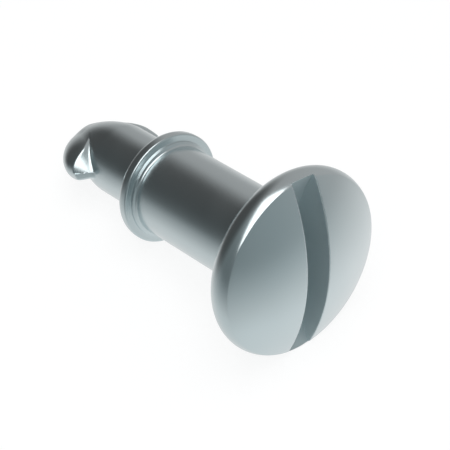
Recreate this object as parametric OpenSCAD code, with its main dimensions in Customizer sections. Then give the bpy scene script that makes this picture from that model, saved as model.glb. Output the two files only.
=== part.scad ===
// Quarter-turn fastener: the turning stud, headed and turned as one piece of plated steel.
// It is drawn in its own frame, with the head's seating face at z = 0, the domed head above it
// and the winged tip below, and is then laid on its side as it comes to rest.

/* [Head] */
// Outer diameter of the domed head
head_d = 19; // [17:0.1:21]
// Height of the dome above the seating face
head_h = 5.52; // [5.3:0.01:5.8]
// Radius that rounds the head's edge
head_edge_r = 2.04; // [1.9:0.01:2.2]
// Spherical radius of the dome
dome_r = 18.9; // [18:0.1:20]
// Width of the driver slot
slot_w = 2.7; // [2:0.1:3.2]
// Height of the slot's floor above the seating face, at its deepest point
slot_floor_h = 0.35; // [0.2:0.05:1]
// Radius of the saw that sank the slot, which leaves a hollow floor
slot_saw_r = 17.8; // [17:0.1:19]

/* [Shank] */
// Diameter of the plain shank
shank_d = 9.5; // [9:0.1:10]
// Fillet between the seating face and the shank
seat_fillet_r = 0.45; // [0.3:0.05:0.6]

/* [Collar] */
// Distance from the seating face down to the collar's flat face
collar_drop = 15.9; // [14:0.1:18]
// Outer diameter of the collar
collar_d = 11.7; // [11.4:0.1:12]
// Radius that rounds the collar's rim
collar_edge_r = 0.98; // [0.9:0.01:1.05]
// Depth of the collar's rim centre below its flat face
collar_edge_drop = 0.54; // [0.4:0.01:0.6]
// Radius that rounds the edge of the collar's flat face
collar_front_r = 0.25; // [0.15:0.05:0.35]
// Diameter of the low step above the collar
step_d = 10.2; // [9.8:0.05:10.4]
// Height of the step above the collar's flat face
step_h = 0.4; // [0.3:0.05:0.6]
// Length over which the step runs out into the shank
step_runout = 0.6; // [0.4:0.05:0.8]

/* [Neck] */
// Diameter of the neck between the collar and the wings
neck_d = 7.54; // [7:0.02:8]
// Fillet between the collar and the neck
neck_fillet_r = 0.4; // [0.2:0.05:0.6]
// Distance from the seating face to the very tip
tip_drop = 30.68; // [30:0.02:34]
// Length of the neck's rounded nose
nose_len = 6.96; // [6:0.02:7.2]
// Fullness of the nose's curve, 2 being a plain ellipse
nose_power = 1.6; // [1.4:0.05:2]

/* [Wings] */
// Span over both wings
wing_span = 10.96; // [10.4:0.02:11.2]
// Thickness of the wings across the stud's axis
wing_t = 5.34; // [5:0.02:5.6]
// Half the thickness of the wings where they end at the tip
wing_edge_t = 0.5; // [0.3:0.05:0.8]
// Radius of the wings' flanks, seen along the axis
wing_flank_r = 8.66; // [8:0.02:9]
// Radius of the wings' rounded ends, seen along the axis
wing_end_r = 1.42; // [1.2:0.02:1.5]
// Distance by which the nose's tip leads the wings' lower ends
nose_lead = 0.1; // [0.05:0.05:0.3]
// Length of the wings' rounded lower part
wing_nose_len = 4.83; // [4.4:0.01:5]
// Fullness of the wings' lower curve
wing_power = 1.6; // [1.4:0.05:2]
// Height of the wings' head-side shoulder above their rounded part, at the neck
shoulder_h = 2.14; // [2:0.02:2.4]
// Fall of the shoulder from the neck out to the wing's end
shoulder_fall = 0.5; // [0.3:0.05:0.7]

/* [Cam] */
// Steepness of the cam face that one half of each wing carries
cam_slope = 49.6; // [44:0.1:58]
// Turn of the cam face about the axis, away from square across the wing
cam_turn = 27.5; // [22:0.1:32]
// Depth of the cam face's top corner below the shoulder
cam_drop = 0; // [0:0.05:0.3]
// Width of the land between the cam's stop and the wing's sloping back
land_w = 0.65; // [0.4:0.05:1]
// Steepness of the wing's back
back_slope = 66.7; // [60:0.1:72]
// Turn of the wing's back about the axis
back_turn = 7.7; // [0:0.1:16]

/* [Lie] */
// Turn of the slot away from upright while the stud lies on its side
lie_roll = 9.85; // [0:0.05:40]

/* [Hidden] */

$fn = 96;
EPS = 0.01;
CURVE_STEPS = 20;
FAR = 30;

head_r = head_d / 2;
shank_r = shank_d / 2;
neck_r = neck_d / 2;
step_r = step_d / 2;
wing_r = wing_span / 2;

// Centre of the head's rounded edge, and of the dome
rim_ring_r = head_r - head_edge_r;
dome_z = head_h - dome_r;

// Centre of the collar's rounded rim
collar_r = collar_d / 2;
collar_ring_r = collar_r - collar_edge_r;
collar_top_z = -collar_drop;
collar_ring_z = collar_top_z - collar_edge_drop;
collar_bottom_z = collar_ring_z - collar_edge_r;

// Heights along the tip
nose_z = nose_len - tip_drop;
wing_nose_z = wing_nose_len + nose_lead - tip_drop;
shoulder_z = wing_nose_z + shoulder_h;

// Distance of each flank's centre line from the axis, and where the wings' end rounds are centred
flank_off = wing_flank_r - wing_t / 2;
end_off = wing_r - wing_end_r;
end_cut = end_off + wing_end_r * end_off / sqrt(pow(flank_off, 2) + pow(end_off, 2));

// The stud lies on its head's rim and its collar's rim, so its axis leans by this angle
ring_run = head_edge_r - collar_ring_z;
ring_rise = rim_ring_r - collar_ring_r;
lie_tilt = atan2(ring_rise, ring_run)
    + asin((head_edge_r - collar_edge_r) / sqrt(pow(ring_run, 2) + pow(ring_rise, 2)));

// Points of a rounded end that shrinks from radius r to nothing over the length len
function round_end(r, len, power, z_top, base_r = 0) =
    [for (i = [0 : CURVE_STEPS]) let (a = 90 * i / CURVE_STEPS)
        [base_r + r * pow(cos(a), 2 / power), z_top - len * pow(sin(a), 2 / power)]];

nose_curve = round_end(neck_r, nose_len, nose_power, nose_z);

// Height of the edge's centre above the surface, and the shift that centres the lying stud
lie_h = rim_ring_r * cos(lie_tilt) + head_edge_r - head_edge_r * sin(lie_tilt);
lie_front = dome_z * cos(lie_tilt) + dome_r;
lie_back = min([for (p = nose_curve) p[1] * cos(lie_tilt) - p[0] * sin(lie_tilt)]);
lie_x = -(lie_front + lie_back) / 2;

// Domed head with a rounded edge, before it is slotted
module head() {
    color("silver")
    rotate_extrude()
    intersection() {
        union() {
            translate([rim_ring_r, head_edge_r]) circle(r = head_edge_r);
            square([rim_ring_r, head_h]);
        }
        translate([0, dome_z]) circle(r = dome_r, $fn = 360);
        square([head_r + 1, head_h + 1]);
    }
}

// Saw cut right across the head, with the hollow floor that a round saw leaves
module slot_cut() {
    translate([0, 0, slot_floor_h + slot_saw_r])
    rotate([90, 0, 0])
    cylinder(r = slot_saw_r, h = slot_w, center = true, $fn = 360);
}

// Plain shank with the fillet under the head and the low step above the collar
module shank() {
    color("silver")
    union() {
        translate([0, 0, collar_top_z])
        cylinder(r = shank_r, h = head_edge_r - collar_top_z);
        translate([0, 0, collar_top_z - EPS])
        cylinder(r = step_r, h = step_h + EPS);
        translate([0, 0, collar_top_z + step_h])
        cylinder(r1 = step_r, r2 = shank_r, h = step_runout);
        rotate_extrude()
        difference() {
            translate([shank_r - EPS, -seat_fillet_r])
            square([seat_fillet_r + EPS, seat_fillet_r + EPS]);
            translate([shank_r + seat_fillet_r, -seat_fillet_r])
            circle(r = seat_fillet_r);
        }
    }
}

// Collar with a rounded rim, flat on its head side
module collar() {
    color("silver")
    rotate_extrude()
    intersection() {
        union() {
            translate([collar_ring_r, collar_ring_z]) circle(r = collar_edge_r);
            translate([0, collar_bottom_z]) square([collar_ring_r, collar_top_z - collar_bottom_z]);
            translate([0, collar_ring_z])
            square([collar_r, collar_top_z - collar_front_r - collar_ring_z]);
            translate([0, collar_ring_z])
            square([collar_r - collar_front_r, collar_top_z - collar_ring_z]);
            translate([collar_r - collar_front_r, collar_top_z - collar_front_r])
            circle(r = collar_front_r);
        }
        translate([0, collar_bottom_z - 1])
        square([collar_d, collar_top_z - collar_bottom_z + 1]);
    }
}

// Round neck that ends in a blunt nose
module neck() {
    color("silver")
    union() {
        rotate_extrude()
        polygon(concat([[0, collar_ring_z], [neck_r, collar_ring_z]], nose_curve));
        rotate_extrude()
        difference() {
            translate([neck_r - EPS, collar_bottom_z - neck_fillet_r])
            square([neck_fillet_r + EPS, neck_fillet_r + EPS]);
            translate([neck_r + neck_fillet_r, collar_bottom_z - neck_fillet_r])
            circle(r = neck_fillet_r);
        }
    }
}

// Round form that bounds the wings' reach, with the shoulder on the head side
module wing_envelope() {
    rotate_extrude()
    polygon(concat(
        [[0, shoulder_z], [neck_r, shoulder_z], [wing_r - 0.2, shoulder_z - shoulder_fall],
         [wing_r, shoulder_z - shoulder_fall - 0.2]],
        round_end(wing_r, wing_nose_len, wing_power, wing_nose_z)));
}

// One flank of both wings, which closes in towards the tip
module wing_flank() {
    translate([-flank_off, 0, 0])
    rotate_extrude($fn = 180)
    polygon(concat(
        [[0, -tip_drop], [0, shoulder_z + 1], [flank_off + wing_t / 2, shoulder_z + 1]],
        round_end(wing_t / 2 - wing_edge_t, wing_nose_len, wing_power, wing_nose_z,
            flank_off + wing_edge_t)));
}

// Section that rounds the wings' outer ends, seen along the axis
module wing_ends() {
    translate([0, 0, -tip_drop - 1])
    linear_extrude(height = tip_drop)
    union() {
        square([wing_t + 1, 2 * end_cut], center = true);
        translate([0, end_off]) circle(r = wing_end_r);
        translate([0, -end_off]) circle(r = wing_end_r);
    }
}

// Space above the cam face, on the leading half of the wing that points to -Y
module cam_space() {
    intersection() {
        translate([0, -neck_r, shoulder_z - cam_drop])
        rotate([0, cam_slope, 180 + cam_turn])
        translate([-FAR / 2, -FAR / 2, 0])
        cube([FAR, FAR, FAR / 2]);
        translate([-FAR, -FAR, -tip_drop - 1])
        cube([FAR, FAR, tip_drop]);
    }
}

// Space above the sloping back, on the trailing half of the same wing
module back_space() {
    intersection() {
        translate([land_w, -neck_r, shoulder_z])
        rotate([0, back_slope, -back_turn])
        translate([-FAR / 2, -FAR / 2, 0])
        cube([FAR, FAR, FAR / 2]);
        translate([0, -FAR, -tip_drop - 1])
        cube([FAR, FAR, tip_drop]);
    }
}

// Two thin wings across the neck, each cut back to a cam face on one half, with a narrow land
// and a sloping back on the other
module wings() {
    color("silver")
    difference() {
        intersection() {
            wing_envelope();
            wing_flank();
            rotate([0, 0, 180]) wing_flank();
            wing_ends();
        }
        cam_space();
        rotate([0, 0, 180]) cam_space();
        back_space();
        rotate([0, 0, 180]) back_space();
    }
}

// The whole stud in its own frame, with its slot along X
module stud() {
    color("silver")
    difference() {
        union() {
            head();
            shank();
            collar();
            neck();
            wings();
        }
        slot_cut();
    }
}

// The stud as it comes to rest on its side, head towards +X
module stud_at_rest() {
    translate([lie_x, 0, lie_h])
    rotate([0, 90 - lie_tilt, 0])
    rotate([0, 0, -lie_roll])
    stud();
}

stud_at_rest();  // stud
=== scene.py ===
import bmesh
import bpy
from math import acos, asin, atan2, cos, degrees, hypot, pi, radians, sin, sqrt
from mathutils import Matrix, Vector


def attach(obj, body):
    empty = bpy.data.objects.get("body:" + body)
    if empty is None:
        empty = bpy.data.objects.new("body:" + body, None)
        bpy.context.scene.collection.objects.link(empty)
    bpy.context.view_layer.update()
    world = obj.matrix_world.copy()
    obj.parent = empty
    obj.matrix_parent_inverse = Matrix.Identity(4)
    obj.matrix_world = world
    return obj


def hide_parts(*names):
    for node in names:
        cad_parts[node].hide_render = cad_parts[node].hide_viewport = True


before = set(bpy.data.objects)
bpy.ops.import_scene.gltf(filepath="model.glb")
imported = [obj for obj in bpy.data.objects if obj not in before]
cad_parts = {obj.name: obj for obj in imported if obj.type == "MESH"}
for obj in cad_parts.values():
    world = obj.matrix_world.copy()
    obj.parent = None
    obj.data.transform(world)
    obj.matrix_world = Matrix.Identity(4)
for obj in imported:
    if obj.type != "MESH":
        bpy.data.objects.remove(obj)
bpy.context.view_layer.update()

bl_info = {
    "name": "Quarter-turn fastener",
    "version": (1, 0, 0),
    "blender": (4, 5, 0),
    "location": "View3D > Sidebar > Fastener",
    "description": "Builds a plated quarter-turn stud, its floor, its light and its camera",
    "category": "Object",
}

MM = 0.001


def length(name, description, default_mm, **more):
    """A length property, given in millimetres and kept in metres."""
    return bpy.props.FloatProperty(name=name, description=description, default=default_mm * MM,
                                   min=0.0, unit="LENGTH", precision=5, **more)


def share(name, description, default):
    """A plain number property, for a brightness where 1 is white."""
    return bpy.props.FloatProperty(name=name, description=description, default=default, min=0.0)


def linear(hex_colour, alpha=1.0):
    """An sRGB hex colour as linear red, green, blue and alpha."""
    parts = [int(hex_colour[i:i + 2], 16) / 255 for i in (1, 3, 5)]
    return tuple(p / 12.92 if p <= 0.04045 else ((p + 0.055) / 1.055) ** 2.4 for p in parts) + (alpha,)


def colour(name, description, hex_colour):
    """A colour property whose default is an sRGB hex value."""
    return bpy.props.FloatVectorProperty(name=name, description=description, subtype="COLOR",
                                         size=4, min=0.0, max=1.0, default=linear(hex_colour))


class StudSizes(bpy.types.PropertyGroup):
    """Sizes of the stud, with the seating face as its zero height."""
    head_diameter: length("Head diameter", "Across the domed head", 19.0)
    head_height: length("Head height", "Dome above the seating face", 5.52)
    head_edge_radius: length("Head edge", "Radius that rounds the head's edge", 2.04)
    dome_radius: length("Dome radius", "Spherical radius of the head's face", 18.9)
    crease_radius: length("Crease", "Rounding where the dome meets the head's edge", 0.25)
    slot_width: length("Slot width", "Across the driver slot", 2.7)
    slot_floor: length("Slot floor", "Height of the slot's floor at its deepest", 0.35)
    slot_saw_radius: length("Saw radius", "Radius of the slot's hollow floor", 17.8)
    slot_edge_radius: length("Slot edge", "Rounding of the slot's long edges", 0.1)
    shank_diameter: length("Shank diameter", "Across the plain shank", 9.5)
    seat_fillet: length("Seat fillet", "Fillet between the head and the shank", 0.45)
    collar_drop: length("Collar drop", "Seating face to the collar's flat face", 15.9)
    collar_diameter: length("Collar diameter", "Across the collar", 11.7)
    collar_edge_radius: length("Collar edge", "Radius that rounds the collar's rim", 0.98)
    collar_front_radius: length("Collar front", "Rounding of the edge of the collar's flat face", 0.18)
    collar_edge_drop: length("Collar edge drop", "Flat face to the rim's centre", 0.54)
    step_diameter: length("Step diameter", "Across the low step above the collar", 10.2)
    step_height: length("Step height", "Step above the collar's flat face", 0.27)
    step_runout: length("Step run-out", "Length over which the step meets the shank", 0.6)
    neck_diameter: length("Neck diameter", "Across the neck", 7.54)
    neck_fillet: length("Neck fillet", "Fillet between the collar and the neck", 0.4)
    tip_drop: length("Tip drop", "Seating face to the very tip", 30.68)
    nose_length: length("Nose length", "Rounded end of the neck", 6.96)
    nose_lead: length("Nose lead", "Tip of the nose below the wings' lower ends", 0.1)
    wing_span: length("Wing span", "Over both wings", 10.96)
    wing_thickness: length("Wing thickness", "Through a wing", 5.34)
    wing_nose_length: length("Wing nose", "Rounded lower part of the wings", 4.83)
    shoulder_height: length("Shoulder", "Shoulder above the rounded part", 2.28)
    shoulder_fall: length("Shoulder fall", "Fall of the shoulder to the wing's end", 0.75)
    land_width: length("Land", "Between the cam's stop and the wing's sloping back", 0.65)
    nose_power: bpy.props.FloatProperty(name="Nose fullness", description="Power of the end's curve",
                                        default=1.6, min=1.2, max=3.0)
    lie_roll: bpy.props.FloatProperty(name="Roll", description="Turn about the stud's own axis",
                                      default=radians(9.85), subtype="ANGLE")


class StudLooks(bpy.types.PropertyGroup):
    """Colours of the plating, and colours and brightness of the stage."""
    zinc: colour("Zinc plating", "Bright clear-passivated zinc on steel", "#D9E2E4")
    floor: colour("Floor", "Matt white paper", "#F4F4F4")
    cool_wall: colour("Cool wall", "Tint of the studio's walls behind the camera", "#EAFBFF")
    wall_dim: share("Dim wall", "Brightness of the studio's wall at -Y", 0.17)
    wall_bright: share("Bright wall", "Brightness of the studio's wall at +Y", 0.45)
    floor_gain: share("Lower half", "What the studio gains in brightness towards the floor", 0.46)
    card: share("Black card", "Brightness of the black card beyond the tip", 0.075)
    shadow: share("Shadow", "Share of the floor's picture that is lit paper, and so takes the shadow", 0.25)
    box_brightness: share("Soft box", "Brightness of the soft box overhead", 1.6)


def arc(centre, radius, start, end, steps, skip_first=False):
    """Profile points along an arc, as (r, z) pairs. Angles are in degrees from +r towards +z."""
    first = 1 if skip_first else 0
    angles = [radians(start + (end - start) * i / steps) for i in range(first, steps + 1)]
    return [(centre[0] + radius * cos(a), centre[1] + radius * sin(a)) for a in angles]


def rounded_corner(before, corner, after, radius, steps=4):
    """Points of the arc that rounds a corner of a profile."""
    to_before = (Vector(before) - Vector(corner)).normalized()
    to_after = (Vector(after) - Vector(corner)).normalized()
    half = acos(max(-1.0, min(1.0, to_before.dot(to_after)))) / 2
    middle = (to_before + to_after).normalized()
    centre = Vector(corner) + middle * (radius / sin(half))
    start = (Vector(corner) + to_before * (radius * cos(half) / sin(half)) - centre).normalized()
    end = (Vector(corner) + to_after * (radius * cos(half) / sin(half)) - centre).normalized()
    return [tuple(centre + start.slerp(end, i / steps) * radius) for i in range(steps + 1)]


def stud_matrix(sizes):
    """Where the stud lies: on its head's rim and its collar's rim, head towards +X."""
    rim_ring = sizes.head_diameter / 2 - sizes.head_edge_radius
    collar_ring = sizes.collar_diameter / 2 - sizes.collar_edge_radius
    run = sizes.head_edge_radius + sizes.collar_drop + sizes.collar_edge_drop
    rise = rim_ring - collar_ring
    tilt = atan2(rise, run) + asin((sizes.head_edge_radius - sizes.collar_edge_radius) / hypot(run, rise))
    height = rim_ring * cos(tilt) + sizes.head_edge_radius * (1 - sin(tilt))
    front = (sizes.head_height - sizes.dome_radius) * cos(tilt) + sizes.dome_radius
    back = min(z * cos(tilt) - r * sin(tilt) for r, z in nose_profile(sizes, 20))
    turn = Matrix.Rotation(pi / 2 - tilt, 4, "Y") @ Matrix.Rotation(-sizes.lie_roll, 4, "Z")
    return Matrix.Translation((-(front + back) / 2, 0.0, height)) @ turn


def nose_profile(sizes, steps):
    """Profile of the neck's rounded end, from the neck to the tip."""
    top = sizes.nose_length - sizes.tip_drop
    power = 2 / sizes.nose_power
    points = []
    for i in range(steps + 1):
        a = radians(90 * i / steps)
        radius = sizes.neck_diameter / 2 * max(cos(a), 0.0) ** power if i < steps else 0.0
        points.append((radius, top - sizes.nose_length * sin(a) ** power))
    return points


def head_profile(sizes):
    """Dome, softened crease, rounded edge and seating face, from the apex outwards."""
    ring = sizes.head_diameter / 2 - sizes.head_edge_radius
    edge = sizes.head_edge_radius
    dome_z = sizes.head_height - sizes.dome_radius
    gap = hypot(ring, edge - dome_z)
    lean = atan2(edge - dome_z, ring)
    at_dome = lean - acos((gap ** 2 + sizes.dome_radius ** 2 - edge ** 2) / (2 * gap * sizes.dome_radius))
    crease = (sizes.dome_radius * cos(at_dome), dome_z + sizes.dome_radius * sin(at_dome))
    at_edge = atan2(crease[1] - edge, crease[0] - ring)
    back_off = radians(0.5)
    dome = arc((0.0, dome_z), sizes.dome_radius, 90, degrees(at_dome + back_off), 30)
    rim = arc((ring, edge), edge, degrees(at_edge - radians(6)), -90, 26)
    return dome[:-1] + rounded_corner(dome[-1], crease, rim[0], sizes.crease_radius) + rim


def body_profile(sizes):
    """Seat fillet, shank, step, collar and neck, from the head downwards."""
    shank = sizes.shank_diameter / 2
    step = sizes.step_diameter / 2
    neck = sizes.neck_diameter / 2
    face = -sizes.collar_drop
    ring = (sizes.collar_diameter / 2 - sizes.collar_edge_radius, face - sizes.collar_edge_drop)
    bottom = ring[1] - sizes.collar_edge_radius
    fillet = sizes.seat_fillet
    step_top = face + sizes.step_height
    runout_top = step_top + 0.15 * MM
    front = sizes.collar_front_radius
    edge = arc((sizes.collar_diameter / 2 - front, face - front), front, 90, 0, 8)
    rim = arc(ring, sizes.collar_edge_radius, -4, -90, 18)
    points = arc((shank + fillet, -fillet), fillet, 90, 180, 6)
    points += [(shank, z) for z in (-0.004, -0.008, -0.012)]
    points += rounded_corner((shank, 0.0), (shank, runout_top), (step, step_top), 0.3 * MM, 8)
    points += rounded_corner((shank, runout_top), (step, step_top), (step, face), 0.08 * MM)
    points += rounded_corner((step, step_top), (step, face), edge[0], 0.06 * MM, 3)
    points += edge + rim
    points += arc((neck + sizes.neck_fillet, bottom - sizes.neck_fillet), sizes.neck_fillet, 90, 180, 6)
    return points


def tip_heights(sizes):
    """Heights of the rows round the tip: close together at the shoulder and over the cam faces."""
    shoulder = sizes.wing_nose_length + sizes.nose_lead - sizes.tip_drop + sizes.shoulder_height
    heights = [shoulder + 0.9 * MM, shoulder + 0.5 * MM]
    z = shoulder + 0.3 * MM
    while z > shoulder - 1.0 * MM:
        heights.append(z)
        z -= 0.055 * MM
    while z > shoulder - 3.0 * MM:
        heights.append(z)
        z -= 0.08 * MM
    left = z + sizes.tip_drop
    steps = 34
    for i in range(steps):
        a = radians(90 * i / steps)
        heights.append(z - left * sin(a) ** (2 / sizes.nose_power))
    return heights


def round_end(height, top, reach, power):
    """Share of the full size that a rounded end has at that height."""
    u = (top - height) / reach
    if u <= 0:
        return 1.0
    return max(1 - min(u, 1.0) ** power, 0.0) ** (1 / power)


def soft_max(a, b, k):
    h = max(k - abs(a - b), 0.0) / k
    return max(a, b) + h * h * k / 4


def soft_min(a, b, k):
    return -soft_max(-a, -b, k)


def tip_radius(sizes, turn, z):
    """Radius of the tip's surface at that turn from a wing's middle, and that height."""
    neck = sizes.neck_diameter / 2
    nose_top = sizes.nose_length - sizes.tip_drop
    u = min(max((nose_top - z) / sizes.nose_length, 0.0), 1.0)
    nose = neck * round_end(z, nose_top, sizes.nose_length, sizes.nose_power + 0.3 * u ** 8 * (1 - u))
    wing_top = sizes.wing_nose_length + sizes.nose_lead - sizes.tip_drop
    shoulder_z = wing_top + sizes.shoulder_height
    u = min(max((wing_top - z) / sizes.wing_nose_length, 0.0), 1.0)
    shrink = round_end(z, wing_top, sizes.wing_nose_length, sizes.nose_power + 0.7 * u ** 4 * (1 - u))
    oval = 1 / sqrt((cos(turn) / (sizes.wing_span / 2)) ** 2 + (sin(turn) / (sizes.wing_thickness / 2)) ** 2)
    wing = oval * shrink
    flat = (sizes.wing_span / 2 - 0.2 * MM - neck) / sizes.shoulder_fall
    crest = shoulder_z if turn < 0 else shoulder_z - 0.16 * MM
    wing = soft_min(wing, neck + (crest - z) * flat, 0.2 * MM)
    low = min(max((wing_top - 2.6 * MM - z) / (1.0 * MM), 0.0), 1.0)
    if turn < 0:
        below = -0.02362 + 0.00242 * turn - 0.001418 * turn ** 2 - z
        bulge = 120.0
        cam = 0.0039 + (sqrt(max(0.55 ** 2 + 4 * bulge * below, 0.01)) - 0.55) / (2 * bulge)
        wing = soft_min(wing, cam, 0.1 * MM)
        away = max(-turn - radians(45), 0.0) / radians(45)
        return soft_max(nose, wing, (0.3 + 0.2 * away ** 2 + 0.4 * low) * MM)
    back = (shoulder_z + 0.31 * neck + 2.3 * sizes.land_width - z) / (0.31 * cos(turn) + 2.3 * sin(turn))
    wing = soft_min(wing, back, 0.8 * MM)
    return soft_max(nose, wing, (0.5 + 0.4 * low) * MM)


def column_turns(count):
    """Turns of the half-circle's columns from a wing's middle: closest over the cam face."""
    bands = [(-90, -44, 0.18), (-44, -0.12, 0.42), (-0.12, 0.12, 0), (0.12, 44, 0.26), (44, 90, 0.14)]
    turns = []
    spare = count - 1
    for low, high, share in bands:
        steps = round(spare * share) if share else 1
        turns += [low + (high - low) * i / steps for i in range(steps)]
    while len(turns) < count:
        turns.append((turns[-1] + 90) / 2)
    return turns[:count]


def shape_tip(bm, sizes, columns, heights):
    """Moves the spun rows of the tip out to the wings, and spreads the columns."""
    half = columns // 2
    turns = column_turns(half)
    first = -90.0
    for vert in bm.verts:
        radius = hypot(vert.co.x, vert.co.y)
        if radius < 1e-7:
            continue
        index = round(degrees(atan2(vert.co.y, vert.co.x)) / (360 / columns)) % columns
        side, place = divmod(index, half)
        turn = turns[place]
        angle = radians(270 + 180 * side + turn)
        z = vert.co.z
        if z < heights[0] + 1e-6:
            radius = tip_radius(sizes, radians(turn), z)
        vert.co = (radius * cos(angle), radius * sin(angle), z)


def mesh_object(name, bm):
    mesh = bpy.data.meshes.new(name)
    bm.to_mesh(mesh)
    bm.free()
    piece = bpy.data.objects.new(name, mesh)
    bpy.context.scene.collection.objects.link(piece)
    return piece


def cut_away(piece, cutter, operation="DIFFERENCE"):
    """Applies a boolean to the piece and removes the cutter."""
    change = piece.modifiers.new("cut", "BOOLEAN")
    change.object = cutter
    change.operation = operation
    change.solver = "EXACT"
    bpy.context.view_layer.update()
    graph = bpy.context.evaluated_depsgraph_get()
    mesh = bpy.data.meshes.new_from_object(piece.evaluated_get(graph))
    piece.modifiers.clear()
    old = piece.data
    piece.data = mesh
    bpy.data.meshes.remove(old)
    bpy.data.objects.remove(cutter)


def slot_cutter(sizes):
    """The slot's space: a ring about the dome's centre, whose sides flare at the dome, kept above
    the hollow floor."""
    half = sizes.slot_width / 2
    edge = sizes.slot_edge_radius
    dome_z = sizes.head_height - sizes.dome_radius
    outer = sqrt((sizes.dome_radius - edge) ** 2 - (half + edge) ** 2)
    side = [(half + edge - edge * cos(radians(a)), outer + edge * sin(radians(a)))
            for a in range(0, 71, 14)]
    reach = (side[-1][0] + 0.6 * MM, side[-1][1] + 0.6 * MM * cos(radians(70)) / sin(radians(70)))
    side = [(half, 0.012)] + side + [reach]
    loop = [(y, rho) for y, rho in side] + [(-y, rho) for y, rho in reversed(side)]
    bm = bmesh.new()
    start = Matrix.Rotation(radians(-32), 4, "Y")
    verts = [bm.verts.new(start @ Vector((0.0, y, rho))) for y, rho in loop]
    face = bm.faces.new(verts)
    bmesh.ops.spin(bm, geom=[face] + face.edges[:] + verts, axis=(0, 1, 0), cent=(0, 0, 0),
                   angle=radians(64), steps=96, use_duplicate=False)
    bmesh.ops.translate(bm, verts=bm.verts, vec=(0, 0, dome_z))
    bmesh.ops.recalc_face_normals(bm, faces=bm.faces)
    ring = mesh_object("slot_ring", bm)
    bm = bmesh.new()
    place = Matrix.Translation((0, 0, sizes.slot_floor + sizes.slot_saw_radius))
    place = place @ Matrix.Rotation(pi / 2, 4, "X")
    bmesh.ops.create_cone(bm, cap_ends=True, segments=360, radius1=sizes.slot_saw_radius,
                          radius2=sizes.slot_saw_radius, depth=sizes.slot_width * 3, matrix=place)
    saw = mesh_object("slot_saw", bm)
    cut_away(ring, saw, "INTERSECT")
    return ring


def node(tree, kind, place, settings=None, **values):
    """Adds a node with its settings and its input values or links."""
    made = tree.nodes.new(kind)
    made.location = place
    for key, value in (settings or {}).items():
        setattr(made, key, value)
    for key, value in values.items():
        socket = made.inputs[int(key[1:])] if key[0] == "i" and key[1:].isdigit() else made.inputs[key.replace("_", " ")]
        if isinstance(value, bpy.types.NodeSocket):
            tree.links.new(value, socket)
        else:
            socket.default_value = value
    return made


def new_material(name):
    material = bpy.data.materials.new(name)
    material.use_nodes = True
    material.node_tree.nodes.clear()
    return material, material.node_tree


def bright_zinc_plated_steel(looks, sizes):
    """Bright zinc plating with clear passivation on cold-headed steel: a smooth, slightly blue
    metal whose reflections are soft, with faint clouding in the plating."""
    material, tree = new_material("bright_zinc_plated_steel")
    where = node(tree, "ShaderNodeTexCoord", (-900, 0))
    cloud = node(tree, "ShaderNodeTexNoise", (-700, 0), Vector=where.outputs["Object"],
                 Scale=350.0, Detail=3.0, Roughness=0.5)
    sheen = node(tree, "ShaderNodeMapRange", (-450, 0), Value=cloud.outputs["Fac"], i1=0.3, i2=0.7,
                 i3=0.2, i4=0.25)
    grain = node(tree, "ShaderNodeTexNoise", (-700, -300), Vector=where.outputs["Object"],
                 Scale=2500.0, Detail=2.0, Roughness=0.5)
    relief = node(tree, "ShaderNodeBump", (-450, -300), Height=grain.outputs["Fac"], Strength=0.02,
                  Distance=0.0001)
    place = stud_matrix(sizes)
    own = node(tree, "ShaderNodeMapping", (-900, 300), {"vector_type": "TEXTURE"},
               Vector=where.outputs["Object"], Location=place.translation, Rotation=place.to_euler())
    from_saw = node(tree, "ShaderNodeVectorMath", (-700, 300), {"operation": "SUBTRACT"},
                    i0=own.outputs["Vector"], i1=(0.0, 0.0, sizes.slot_floor + sizes.slot_saw_radius))
    in_plane = node(tree, "ShaderNodeVectorMath", (-550, 300), {"operation": "MULTIPLY"},
                    i0=from_saw.outputs["Vector"], i1=(1.0, 0.0, 1.0))
    reach = node(tree, "ShaderNodeVectorMath", (-400, 300), {"operation": "LENGTH"},
                 i0=in_plane.outputs["Vector"])
    sunk = node(tree, "ShaderNodeMath", (-250, 400), {"operation": "LESS_THAN"},
                i0=reach.outputs["Value"], i1=sizes.slot_saw_radius + 0.03 * MM)
    across = node(tree, "ShaderNodeSeparateXYZ", (-550, 500), Vector=own.outputs["Vector"])
    between = node(tree, "ShaderNodeMath", (-400, 500), {"operation": "COMPARE"},
                   i0=across.outputs["Y"], i1=0.0, i2=sizes.slot_width / 2 + 0.03 * MM)
    slot = node(tree, "ShaderNodeMath", (-250, 550), {"operation": "MULTIPLY"}, i0=sunk.outputs[0],
                i1=between.outputs[0])
    dull = node(tree, "ShaderNodeMix", (-300, 150), i0=slot.outputs[0], i2=sheen.outputs["Result"],
                i3=0.6)
    metal = node(tree, "ShaderNodeBsdfPrincipled", (-100, 0), Base_Color=looks.zinc, Metallic=1.0,
                 Roughness=dull.outputs[0], Normal=relief.outputs["Normal"])
    node(tree, "ShaderNodeOutputMaterial", (100, 0), Surface=metal.outputs["BSDF"])
    return material


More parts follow.
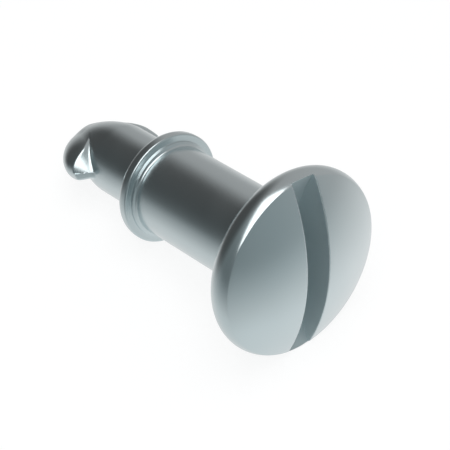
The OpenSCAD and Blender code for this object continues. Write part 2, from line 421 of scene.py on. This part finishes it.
class FASTENER_OT_stud(bpy.types.Operator):
    """Builds the one-piece stud: head, shank, collar, neck and winged tip."""
    bl_idname = "fastener.stud"
    bl_label = "Build the stud"

    def execute(self, context):
        sizes = context.scene.stud_sizes
        columns = 360
        heights = tip_heights(sizes)
        profile = head_profile(sizes) + body_profile(sizes)
        neck = sizes.neck_diameter / 2
        profile += [(neck, heights[0] + 2.0 * MM)]
        profile += [(neck, z) for z in heights]
        bm = bmesh.new()
        verts = [bm.verts.new((0.0, 0.0, profile[0][1]))]
        verts += [bm.verts.new((r, 0.0, z)) for r, z in profile[1:]]
        verts.append(bm.verts.new((0.0, 0.0, -sizes.tip_drop)))
        edges = [bm.edges.new(pair) for pair in zip(verts, verts[1:])]
        bmesh.ops.spin(bm, geom=verts + edges, axis=(0, 0, 1), cent=(0, 0, 0), angle=2 * pi,
                       steps=columns, use_merge=True, use_duplicate=False)
        bmesh.ops.remove_doubles(bm, verts=bm.verts, dist=1e-7)
        shape_tip(bm, sizes, columns, heights)
        bmesh.ops.recalc_face_normals(bm, faces=bm.faces)
        piece = mesh_object("stud_metal", bm)
        cut_away(piece, slot_cutter(sizes))
        bm = bmesh.new()
        bm.from_mesh(piece.data)
        bmesh.ops.remove_doubles(bm, verts=bm.verts, dist=1e-6)
        bmesh.ops.transform(bm, matrix=stud_matrix(sizes), verts=bm.verts)
        for face in bm.faces:
            face.smooth = True
        for edge in bm.edges:
            edge.smooth = len(edge.link_faces) == 2 and edge.calc_face_angle(0.0) < radians(35)
        bm.to_mesh(piece.data)
        bm.free()
        even = piece.modifiers.new("even_normals", "WEIGHTED_NORMAL")
        even.mode = "FACE_AREA"
        even.keep_sharp = True
        piece.data.materials.clear()
        piece.data.materials.append(bright_zinc_plated_steel(context.scene.stud_looks, sizes))
        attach(piece, "root")
        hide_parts("stud")
        return {"FINISHED"}


def aim(azimuth, elevation):
    """Unit vector towards a place in the studio, from its compass angle and its height in degrees."""
    flat = cos(radians(elevation))
    return Vector((flat * cos(radians(azimuth)), flat * sin(radians(azimuth)), sin(radians(elevation))))


def soft_box(name, azimuth, elevation, distance, width, height, brightness):
    """A rectangular soft box that faces the stud. A brightness of 1 looks as bright as white paper."""
    data = bpy.data.lights.new(name, "AREA")
    data.shape = "RECTANGLE"
    data.size = width
    data.size_y = height
    data.energy = brightness * pi * width * height
    lamp = bpy.data.objects.new(name, data)
    towards = aim(azimuth, elevation)
    across = aim(azimuth + 90, 0)
    lamp.matrix_world = Matrix.Translation(towards * distance) @ Matrix(
        (across, towards.cross(across), towards)).transposed().to_4x4()
    bpy.context.scene.collection.objects.link(lamp)
    return lamp


def studio_world(looks):
    """The studio round the table. The camera sees it white. Everything else is lit by grey walls,
    lighter on one side and towards the floor, with a soft-edged black card beyond the tip."""
    world = bpy.data.worlds.new("studio")
    world.use_nodes = True
    tree = world.node_tree
    tree.nodes.clear()
    where = node(tree, "ShaderNodeTexCoord", (-1300, 0))
    parts = node(tree, "ShaderNodeSeparateXYZ", (-1100, -300), Vector=where.outputs["Generated"])
    wall = node(tree, "ShaderNodeMapRange", (-900, -300), Value=parts.outputs["Y"], i1=-1.0, i2=1.0,
                i3=looks.wall_dim, i4=looks.wall_bright)
    lower = node(tree, "ShaderNodeMapRange", (-900, -600), Value=parts.outputs["Z"], i1=0.0, i2=-0.7,
                 i3=0.0, i4=looks.floor_gain)
    plain = node(tree, "ShaderNodeMath", (-700, -400), i0=wall.outputs["Result"],
                 i1=lower.outputs["Result"])
    to_card = node(tree, "ShaderNodeVectorMath", (-1100, 0), {"operation": "DOT_PRODUCT"},
                   i0=where.outputs["Generated"], i1=aim(-165, 18))
    card = node(tree, "ShaderNodeMapRange", (-900, 0), {"interpolation_type": "SMOOTHSTEP"},
                Value=to_card.outputs["Value"], i1=cos(radians(50)), i2=cos(radians(20)))
    level = node(tree, "ShaderNodeMix", (-500, 0), i0=card.outputs["Result"], i2=plain.outputs[0],
                 i3=looks.card)
    to_front = node(tree, "ShaderNodeVectorMath", (-1100, 300), {"operation": "DOT_PRODUCT"},
                    i0=where.outputs["Generated"], i1=aim(-50, 0))
    front = node(tree, "ShaderNodeMapRange", (-900, 300), {"interpolation_type": "SMOOTHSTEP"},
                 Value=to_front.outputs["Value"], i1=-0.7, i2=0.6)
    fade = node(tree, "ShaderNodeMapRange", (-900, 600), Value=parts.outputs["Z"], i1=0.0, i2=-0.5,
                i3=1.0, i4=0.4)
    cool = node(tree, "ShaderNodeMath", (-800, 450), {"operation": "MULTIPLY"},
                i0=front.outputs["Result"], i1=fade.outputs["Result"])
    tint = node(tree, "ShaderNodeMix", (-700, 300), {"data_type": "RGBA"}, i0=cool.outputs[0],
                i6=(1.0, 1.0, 1.0, 1.0), i7=looks.cool_wall)
    walls = node(tree, "ShaderNodeBackground", (-300, 100), Color=tint.outputs[2],
                 Strength=level.outputs[0])
    white = node(tree, "ShaderNodeBackground", (-300, -100), Color=(1.0, 1.0, 1.0, 1.0), Strength=1.0)
    path = node(tree, "ShaderNodeLightPath", (-300, 400))
    seen = node(tree, "ShaderNodeMixShader", (-100, 0), i0=path.outputs["Is Camera Ray"],
                i1=walls.outputs[0], i2=white.outputs[0])
    node(tree, "ShaderNodeOutputWorld", (100, 0), Surface=seen.outputs[0])
    return world


def paper_floor(looks):
    """Matt white paper. The camera sees it white with a faint shadow round the stud. The metal sees
    past it to the pale lower half of the studio, which stands for the paper further out."""
    material, tree = new_material("white_paper_floor")
    where = node(tree, "ShaderNodeTexCoord", (-1100, 400))
    away = node(tree, "ShaderNodeVectorMath", (-900, 400), {"operation": "LENGTH"},
                i0=where.outputs["Object"])
    share = node(tree, "ShaderNodeMapRange", (-700, 400), {"interpolation_type": "SMOOTHSTEP"},
                 Value=away.outputs["Value"], i1=0.08, i2=0.3, i3=looks.shadow, i4=0.0)
    paper = node(tree, "ShaderNodeBsdfDiffuse", (-700, 100), Color=looks.floor)
    white = node(tree, "ShaderNodeEmission", (-700, -100), Color=(1.0, 1.0, 1.0, 1.0), Strength=1.15)
    pictured = node(tree, "ShaderNodeMixShader", (-450, 200), i0=share.outputs["Result"],
                    i1=white.outputs[0], i2=paper.outputs[0])
    path = node(tree, "ShaderNodeLightPath", (-700, 700))
    seen = node(tree, "ShaderNodeMixShader", (-250, 100), i0=path.outputs["Is Camera Ray"],
                i1=paper.outputs[0], i2=pictured.outputs[0])
    clear = node(tree, "ShaderNodeBsdfTransparent", (-450, -100))
    both = node(tree, "ShaderNodeMixShader", (-50, 0), i0=path.outputs["Is Glossy Ray"],
                i1=seen.outputs[0], i2=clear.outputs[0])
    node(tree, "ShaderNodeOutputMaterial", (150, 0), Surface=both.outputs[0])
    return material


class FASTENER_OT_stage(bpy.types.Operator):
    """Sets out the white floor, the studio's light and the camera."""
    bl_idname = "fastener.stage"
    bl_label = "Set the stage"

    def execute(self, context):
        scene = context.scene
        scene.view_settings.view_transform = "Standard"
        bm = bmesh.new()
        bmesh.ops.create_grid(bm, x_segments=1, y_segments=1, size=3.0)
        floor = mesh_object("floor", bm)
        floor.data.materials.append(paper_floor(scene.stud_looks))
        scene.world = studio_world(scene.stud_looks)
        soft_box("overhead_soft_box", -47, 73, 0.5, 0.38, 0.7, scene.stud_looks.box_brightness)
        sizes = scene.stud_sizes
        rim_centre = stud_matrix(sizes) @ Vector((0, 0, sizes.head_edge_radius))
        data = bpy.data.cameras.new("camera")
        data.lens = 135.13
        data.sensor_width = 36.0
        data.clip_start = 0.01
        camera = bpy.data.objects.new("camera", data)
        scene.collection.objects.link(camera)
        forward = Vector((-0.5144, 0.4631, -0.7218)).normalized()
        right = forward.cross(Vector((0, 0, 1))).normalized()
        up = right.cross(forward)
        spot = rim_centre + Vector((0.074765, -0.075886, 0.115777))
        camera.matrix_world = Matrix.Translation(spot) @ Matrix((right, up, -forward)).transposed().to_4x4()
        scene.camera = camera
        return {"FINISHED"}


class FASTENER_PT_panel(bpy.types.Panel):
    """Lists the stud's sizes, its colours and the steps that build it."""
    bl_idname = "FASTENER_PT_panel"
    bl_label = "Quarter-turn fastener"
    bl_space_type = "VIEW_3D"
    bl_region_type = "UI"
    bl_category = "Fastener"

    def draw(self, context):
        for group in (context.scene.stud_sizes, context.scene.stud_looks):
            for name in group.__annotations__:
                self.layout.prop(group, name)
        for operator in OPERATORS:
            self.layout.operator(operator.bl_idname)


OPERATORS = (FASTENER_OT_stud, FASTENER_OT_stage)
CLASSES = (StudSizes, StudLooks, *OPERATORS, FASTENER_PT_panel)


def register():
    for item in CLASSES:
        bpy.utils.register_class(item)
    bpy.types.Scene.stud_sizes = bpy.props.PointerProperty(type=StudSizes)
    bpy.types.Scene.stud_looks = bpy.props.PointerProperty(type=StudLooks)


def unregister():
    del bpy.types.Scene.stud_looks
    del bpy.types.Scene.stud_sizes
    for item in reversed(CLASSES):
        bpy.utils.unregister_class(item)


def main():
    register()
    bpy.ops.fastener.stud()
    bpy.ops.fastener.stage()


if __name__ == "__main__":
    main()
